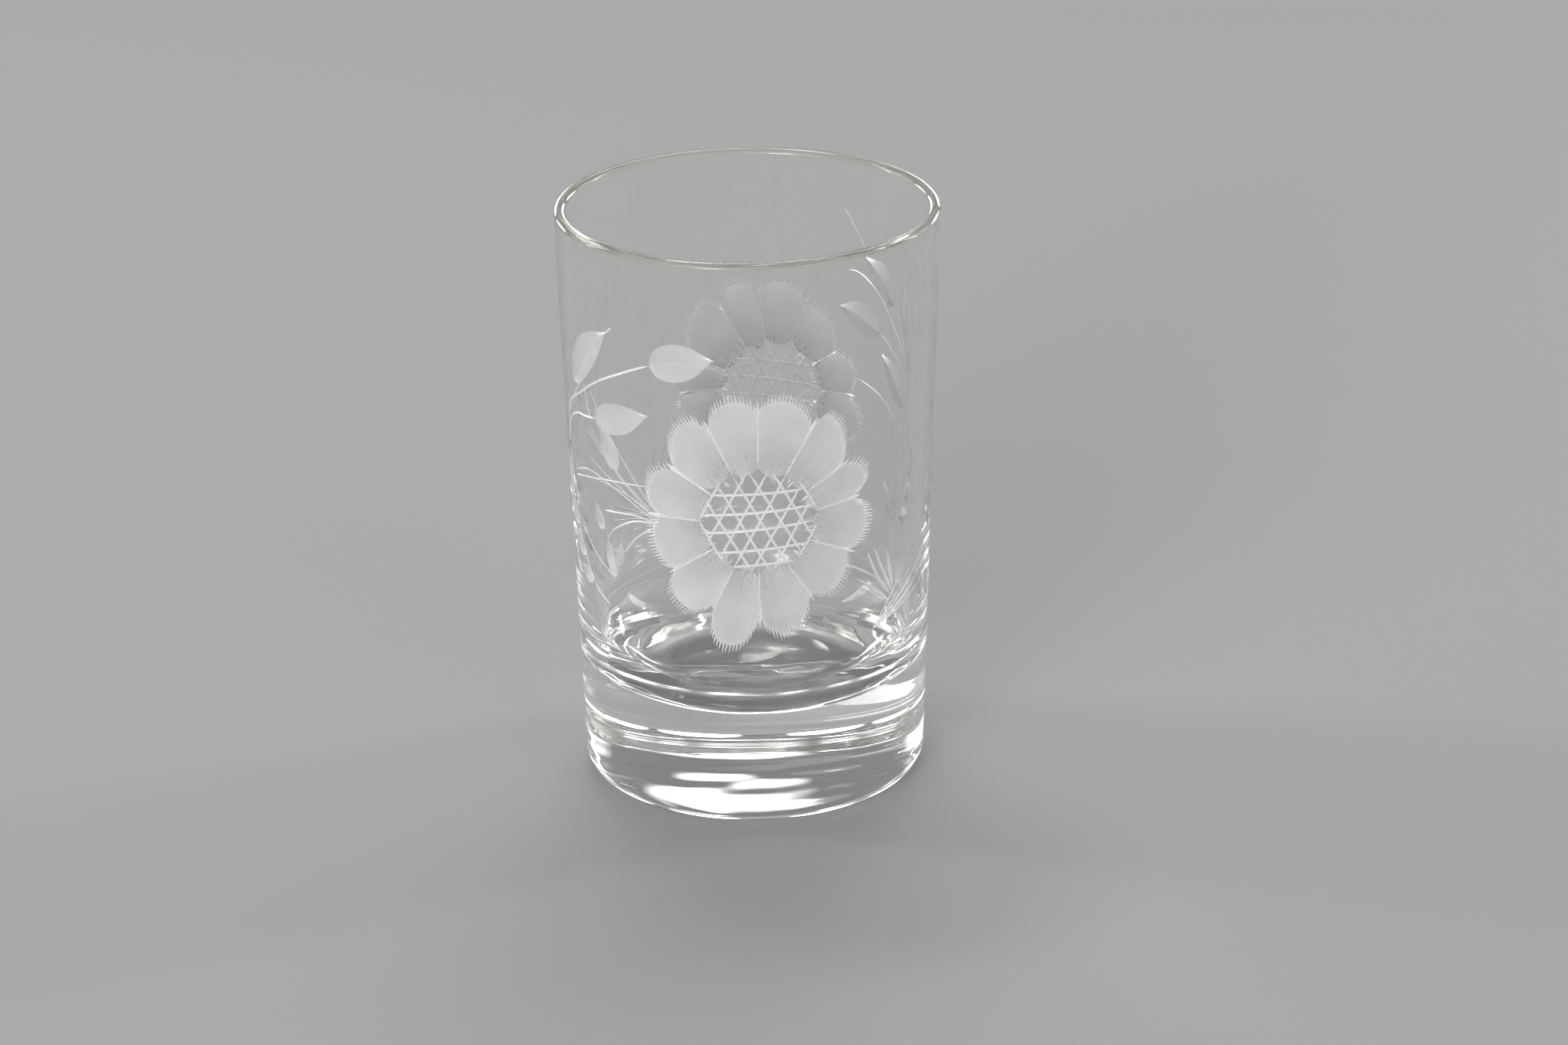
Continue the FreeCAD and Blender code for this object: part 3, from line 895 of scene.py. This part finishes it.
def build_glass():
    """One closed mesh: the turned foot and mouth, and the engraved wall between them."""
    engravings = [Engraving("front", 11), Engraving("rear", 23)]
    flat, triangles = wall_triangles(engravings)
    scoop, frost, marks = scoops_at(engravings, flat)
    positions = wall_positions(flat, scoop + strokes_at(engravings, flat))

    vertices, faces, corner_normals, foot_rings, mouth_rings = turned_glass()
    lip_tops = {index for ring in mouth_rings[:LIP_STEPS + 1] for index in ring}
    materials = [LIP_EDGE if lip_tops.issuperset(face) else CLEAR for face in faces]
    turned = len(vertices)
    where, added = add_wall_vertices(vertices, flat, positions, foot_rings[-1], mouth_rings[0])
    vertex_frost = np.concatenate([np.zeros(turned), frost[added]])
    vertex_marks = np.concatenate([np.zeros(turned), marks[added]])

    kinds, normals = wall_kinds_and_normals(engravings, flat, triangles)
    wall_index = where[triangles]
    placed = np.array(vertices)
    a, b, c = (placed[wall_index[:, corner]] for corner in range(3))
    facet = np.cross(b - a, c - a)
    area = np.linalg.norm(facet, axis=1)
    facet = facet / np.maximum(area, 1e-12)[:, None]
    flat_cut = (kinds == CUT) & (area > 1e-7)
    normals = np.where(flat_cut[:, None, None], facet[:, None, :], normals)
    for triangle, kind, corners in zip(wall_index.tolist(), kinds.tolist(), normals):
        if len(set(triangle)) == 3:
            faces.append(tuple(triangle))
            materials.append(kind)
            corner_normals += list(corners)

    mesh = bpy.data.meshes.new("engraved_glass_look")
    mesh.from_pydata((placed * MM).tolist(), [], faces)
    mesh.update()
    mesh.polygons.foreach_set("material_index", materials)
    mesh.shade_smooth()
    mesh.normals_split_custom_set(np.array(corner_normals).tolist())
    for name, values in (("frost", vertex_frost), ("wheel_marks", vertex_marks)):
        mesh.attributes.new(name, "FLOAT", "POINT").data.foreach_set("value", values)
    return add_object("engraved_glass_look", mesh)


# ---- materials

GLASS_IOR = 1.51


def new_material(name):
    """A material with its node tree and its Principled shader."""
    material = bpy.data.materials.new(name)
    material.use_nodes = True
    return material, material.node_tree, material.node_tree.nodes["Principled BSDF"]


def new_glass(name, transmission):
    material, tree, shader = new_material(name)
    shader.inputs["Transmission Weight"].default_value = transmission
    shader.inputs["IOR"].default_value = GLASS_IOR
    return material, tree, shader


def object_noise(tree, scale, detail, stretch=(1, 1, 1)):
    """Noise in the glass's own space; a stretch below 1 draws it out along that axis."""
    place = tree.nodes.new("ShaderNodeTexCoord")
    mapping = tree.nodes.new("ShaderNodeMapping")
    mapping.inputs["Scale"].default_value = stretch
    noise = tree.nodes.new("ShaderNodeTexNoise")
    noise.inputs["Scale"].default_value = scale
    noise.inputs["Detail"].default_value = detail
    tree.links.new(place.outputs["Object"], mapping.inputs["Vector"])
    tree.links.new(mapping.outputs["Vector"], noise.inputs["Vector"])
    return noise.outputs["Fac"]


def attribute(tree, name):
    """A value stored at the mesh's vertices."""
    node = tree.nodes.new("ShaderNodeAttribute")
    node.attribute_name = name
    return node.outputs["Fac"]


def remap(tree, value, source, target):
    """A value moved from one range to another and kept inside it."""
    node = tree.nodes.new("ShaderNodeMapRange")
    node.inputs["From Min"].default_value, node.inputs["From Max"].default_value = source
    node.inputs["To Min"].default_value, node.inputs["To Max"].default_value = target
    tree.links.new(value, node.inputs["Value"])
    return node.outputs["Result"]


def combine(tree, operation, first, second):
    node = tree.nodes.new("ShaderNodeMath")
    node.operation = operation
    tree.links.new(first, node.inputs[0])
    tree.links.new(second, node.inputs[1])
    return node.outputs["Value"]


def add_bump(tree, shader, height, strength, distance):
    bump = tree.nodes.new("ShaderNodeBump")
    bump.inputs["Strength"].default_value = strength
    bump.inputs["Distance"].default_value = distance
    tree.links.new(height, bump.inputs["Height"])
    tree.links.new(bump.outputs["Normal"], shader.inputs["Normal"])


def clear_glass(name, tint, ripple, smudge):
    """Fire-polished glass: faint upright ripples from the mould and a few dull smudges."""
    material, tree, shader = new_glass(name, transmission=1.0)
    shader.inputs["Base Color"].default_value = (*tint, 1)
    shader.inputs["Roughness"].default_value = 0.0
    if smudge:
        film = object_noise(tree, scale=70.0, detail=4.0)
        tree.links.new(remap(tree, film, (0.52, 0.8), (0.0, smudge)), shader.inputs["Roughness"])
    ripples = object_noise(tree, scale=230.0, detail=2.0, stretch=(1, 1, 0.12))
    add_bump(tree, shader, ripples, strength=ripple, distance=0.0001)
    return material


def frosted_glass(name, roughest, transmission):
    """Wheel-cut glass: rough and white where the frost is strong, clearer where it fades. The white
    follows the frost, so its change to one side of each petal and leaf is painted shade.
    """
    material, tree, shader = new_glass(name, transmission)
    grain = object_noise(tree, scale=2600.0, detail=3.0)
    cloud = object_noise(tree, scale=330.0, detail=2.0)
    streaks = tree.nodes.new("ShaderNodeTexNoise")
    streaks.noise_dimensions = "1D"
    streaks.inputs["Scale"].default_value = 3.2
    streaks.inputs["Detail"].default_value = 2.0
    tree.links.new(attribute(tree, "wheel_marks"), streaks.inputs["W"])
    texture = combine(tree, "MULTIPLY", grain, streaks.outputs["Fac"])
    frost = attribute(tree, "frost")
    rough = remap(tree, frost, (0.0, 1.0), (0.2, roughest))
    uneven = remap(tree, texture, (0.1, 0.45), (-0.06, 0.14))
    tree.links.new(combine(tree, "ADD", rough, uneven), shader.inputs["Roughness"])
    # The colour is whiter where the frost is strong. With the frost's change to one side, this
    # paints one half of each cut lighter as painted shade.
    white = combine(tree, "MULTIPLY", remap(tree, frost, (0.2, 1.0), (0.8, 1.0)),
                    remap(tree, cloud, (0.3, 0.7), (0.9, 1.0)))
    marked = remap(tree, streaks.outputs["Fac"], (0.3, 0.7), (0.93, 1.0))
    tree.links.new(combine(tree, "MULTIPLY", white, marked), shader.inputs["Base Color"])
    add_bump(tree, shader, texture, strength=0.3, distance=0.00003)
    return material


def cut_glass(name, tint, transmission):
    """Narrow grooves from the wheel's edge: rough, with a fine ground grain."""
    material, tree, shader = new_glass(name, transmission)
    shader.inputs["Base Color"].default_value = (*tint, 1)
    grain = object_noise(tree, scale=3800.0, detail=3.0)
    tree.links.new(remap(tree, grain, (0.25, 0.75), (0.22, 0.5)), shader.inputs["Roughness"])
    add_bump(tree, shader, grain, strength=0.3, distance=0.00002)
    return material


glass = build_glass()
# In the order of CLEAR, FROST, CUT and LIP_EDGE.
for material in (
        clear_glass("clear_glass", tint=(0.988, 0.996, 0.98), ripple=0.12, smudge=0.03),
        frosted_glass("frosted_petals", roughest=0.42, transmission=0.6),
        cut_glass("cut_lines", tint=(1.0, 1.0, 0.985), transmission=0.5),
        clear_glass("fire_polished_lip", tint=(0.92, 0.965, 0.8), ripple=0.05, smudge=0.0)):
    glass.data.materials.append(material)
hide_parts("engraved_glass")
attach(glass, "root")


# ---- floor, light and camera

# Metres. A floor that meets the foot exactly leaves black lines in the foot ring.
AIR_UNDER_FOOT = 0.00003
FLOOR_HALF = 3.0
LAMP_AIM = Vector((0, 0, 0.03))


def build_floor():
    mesh = bpy.data.meshes.new("floor")
    mesh.from_pydata([(x * FLOOR_HALF, y * FLOOR_HALF, -AIR_UNDER_FOOT)
                      for x, y in ((-1, -1), (1, -1), (1, 1), (-1, 1))], [], [(0, 1, 2, 3)])
    floor = add_object("floor", mesh)
    material, _tree, shader = new_material("floor")
    shader.inputs["Base Color"].default_value = (0.44, 0.44, 0.445, 1)
    shader.inputs["Roughness"].default_value = 0.9
    shader.inputs["Specular IOR Level"].default_value = 0.05
    mesh.materials.append(material)


def soft_light(name, place, width, height, power):
    """An oval lamp that looks at the middle of the glass."""
    light = bpy.data.lights.new(name, "AREA")
    light.shape = "ELLIPSE"
    light.size = width
    light.size_y = height
    light.energy = power
    lamp = add_object(name, light)
    lamp.location = place
    lamp.rotation_euler = (LAMP_AIM - Vector(place)).to_track_quat("-Z", "Y").to_euler()


def build_camera():
    """Camera at the photograph's viewing angle, in glass heights from the foot's centre."""
    turn = math.radians(-2.0)
    pitch, yaw, roll = 0.388, 0.00832, -0.01197
    back, up = 6.53538, 3.10310
    metre_height = HEIGHT * MM
    forward = Vector((math.sin(yaw) * math.cos(pitch), math.cos(yaw) * math.cos(pitch),
                      -math.sin(pitch)))
    right = Vector((math.cos(yaw), -math.sin(yaw), 0))
    above = right.cross(forward)
    right, above = (right * math.cos(roll) + above * math.sin(roll),
                    above * math.cos(roll) - right * math.sin(roll))
    place = Vector((0, -back * metre_height, up * metre_height))
    aim = Matrix((right, above, -forward)).transposed().to_4x4()
    camera_data = bpy.data.cameras.new("camera")
    camera_data.sensor_width = 36.0
    camera_data.lens = 95.72
    camera = add_object("camera", camera_data)
    camera.matrix_world = Matrix.Rotation(turn, 4, "Z") @ Matrix.Translation(place) @ aim
    bpy.context.scene.camera = camera


# The studio: a dim room with soft glows, each as direction, strength and half-angle in degrees.
# The last four are a low band behind the glass, which lights the rear flower through it.
ROOM = 0.22
GLOWS = [
    ((-0.45, -1.0, 0.22), 2.5, 38),
    ((0.65, -0.9, 0.18), 1.3, 30),
    ((0.15, 0.75, 0.85), 3.2, 24),
    ((-1.0, 0.45, 0.25), 2.0, 20),
    ((1.0, 0.5, 0.2), 2.0, 20),
    *(((across, 1.0, 0.03), 13.0, 11) for across in (-0.8, -0.27, 0.27, 0.8)),
]


def build_world():
    world = bpy.data.worlds.new("studio")
    world.use_nodes = True
    tree = world.node_tree
    background = tree.nodes["Background"]
    background.inputs["Color"].default_value = (1.0, 1.0, 1.0, 1)
    place = tree.nodes.new("ShaderNodeTexCoord")
    total = None
    for direction, strength, half_angle in GLOWS:
        towards = tree.nodes.new("ShaderNodeVectorMath")
        towards.operation = "DOT_PRODUCT"
        towards.inputs[1].default_value = Vector(direction).normalized()
        tree.links.new(place.outputs["Generated"], towards.inputs[0])
        glow = tree.nodes.new("ShaderNodeMapRange")
        glow.interpolation_type = "SMOOTHSTEP"
        glow.inputs["From Min"].default_value = math.cos(math.radians(half_angle))
        glow.inputs["To Max"].default_value = strength
        tree.links.new(towards.outputs["Value"], glow.inputs["Value"])
        join = tree.nodes.new("ShaderNodeMath")
        join.inputs[1].default_value = ROOM
        tree.links.new(glow.outputs["Result"], join.inputs[0])
        if total:
            tree.links.new(total.outputs["Value"], join.inputs[1])
        total = join
    tree.links.new(total.outputs["Value"], background.inputs["Strength"])
    bpy.context.scene.world = world
    bpy.context.scene.view_settings.view_transform = "Standard"


def allow_long_paths():
    """Light that runs round the rim inside the glass meets the surface dozens of times."""
    paths = bpy.context.scene.cycles
    paths.max_bounces = 48
    paths.transmission_bounces = 48
    paths.glossy_bounces = 32


build_floor()
build_camera()
build_world()
allow_long_paths()

soft_light("key", (-0.45, -1.0, 0.32), width=0.35, height=0.30, power=2.4)
soft_light("top", (-0.15, 0.35, 0.85), width=0.22, height=0.14, power=1.0)
soft_light("left", (-0.55, 0.15, 0.28), width=0.07, height=0.45, power=0.5)
soft_light("right", (0.55, 0.2, 0.28), width=0.07, height=0.45, power=0.45)
